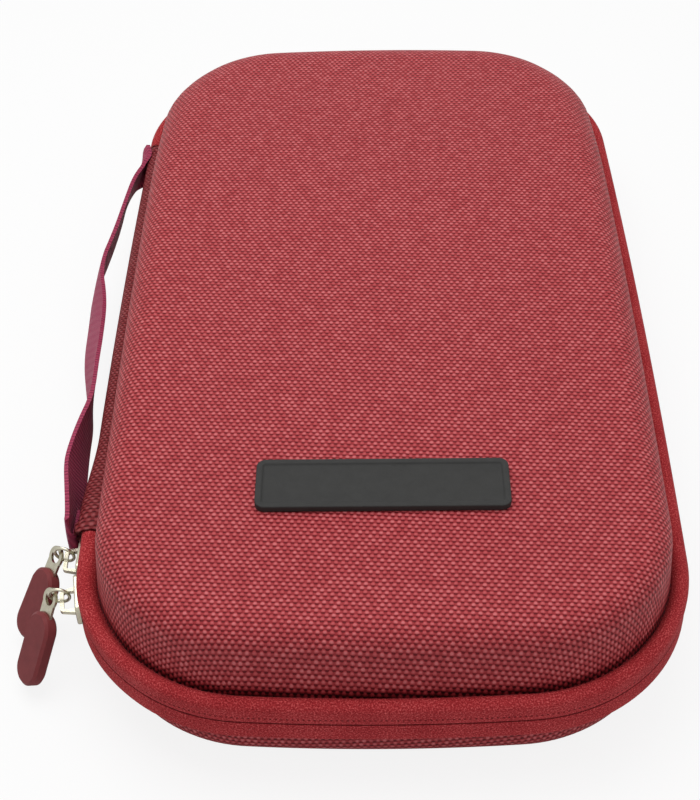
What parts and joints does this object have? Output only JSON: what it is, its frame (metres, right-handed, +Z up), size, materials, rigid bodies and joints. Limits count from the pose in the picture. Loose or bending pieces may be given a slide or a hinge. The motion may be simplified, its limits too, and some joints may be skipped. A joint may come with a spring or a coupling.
{
  "type": "stethoscope hard case",
  "caption": "Zip-round moulded clamshell case for a folded stethoscope, with a cloth spine hinge, webbing strap and paired zip pulls; it lies flat and the lid swings up.",
  "frame": {"origin": "centre of the base's flat underside", "axes": "+X to the right, away from the cloth spine; +Y along the length, away from the end with the badge; +Z up through the lid"},
  "size_m": [0.175, 0.277, 0.0505],
  "materials": {
    "shell_nylon": "ballistic weave nylon over moulded EVA foam",
    "lining_tricot": "brushed knit",
    "zip_tape": "fine woven tape",
    "zip_coil": "nylon coil",
    "edge_binding": "folded binding tape",
    "strap_webbing": "flat woven webbing",
    "badge_rubber": "moulded soft rubber",
    "pocket_mesh": "open net",
    "elastic_web": "woven elastic",
    "nickel_plate": "warm nickel plating",
    "pull_rubber": "satin moulded rubber"
  },
  "bodies": {
    "base": {"base_shell": "shell_nylon", "base_lining": "lining_tricot", "base_binding": "edge_binding", "base_zip_tape": "zip_tape", "base_zip_coil": "zip_coil", "retaining_band": "elastic_web", "spine_cover": "shell_nylon", "spine_lining": "lining_tricot", "handle_strap": "strap_webbing", "rear_slider_body": "nickel_plate"},
    "lid": {"lid_shell": "shell_nylon", "lid_lining": "lining_tricot", "lid_binding": "edge_binding", "lid_zip_tape": "zip_tape", "lid_zip_coil": "zip_coil", "badge": "badge_rubber", "mesh_pocket": "pocket_mesh", "pocket_elastic": "elastic_web"},
    "front_slider": {"front_slider_body": "nickel_plate"},
    "front_ring": {"front_pull_ring": "nickel_plate"},
    "front_pull": {"front_pull_tongue": "nickel_plate", "front_pull_paddle": "pull_rubber"},
    "rear_ring": {"rear_pull_ring": "nickel_plate"},
    "rear_pull": {"rear_pull_tongue": "nickel_plate", "rear_pull_paddle": "pull_rubber"}
  },
  "joints": [
    {"name": "lid_hinge", "type": "hinge", "parent": "base", "child": "lid", "pos_m": [-0.078, 0, 0.024], "axis": [0, -1, 0], "range_deg": [0, 100], "deforming": ["spine_cover", "spine_lining", "handle_strap", "lid_zip_tape", "base_zip_tape", "lid_zip_coil", "base_zip_coil"]},
    {"name": "front_slider_travel", "type": "hinge", "parent": "base", "child": "front_slider", "pos_m": [-0.03191, -0.09248, 0.024], "axis": [0, 0, 1], "range_deg": [0, 68]},
    {"name": "front_ring_swing", "type": "hinge", "parent": "front_slider", "child": "front_ring", "pos_m": [-0.08112, -0.10074, 0.024], "axis": [0.1655, -0.9862, 0], "range_deg": [-50, 35]},
    {"name": "front_pull_swing", "type": "hinge", "parent": "front_ring", "child": "front_pull", "pos_m": [-0.0842, -0.0985, 0.02298], "axis": [0.5479, 0.0172, -0.8364], "range_deg": [-25, 10]},
    {"name": "rear_ring_swing", "type": "hinge", "parent": "base", "child": "rear_ring", "pos_m": [-0.08194, -0.08721, 0.024], "axis": [0.0219, -0.9998, 0], "range_deg": [-50, 35]},
    {"name": "rear_pull_swing", "type": "hinge", "parent": "rear_ring", "child": "rear_pull", "pos_m": [-0.08467, -0.08455, 0.02298], "axis": [0.5446, -0.0618, -0.8364], "range_deg": [0, 50]}
  ]
}
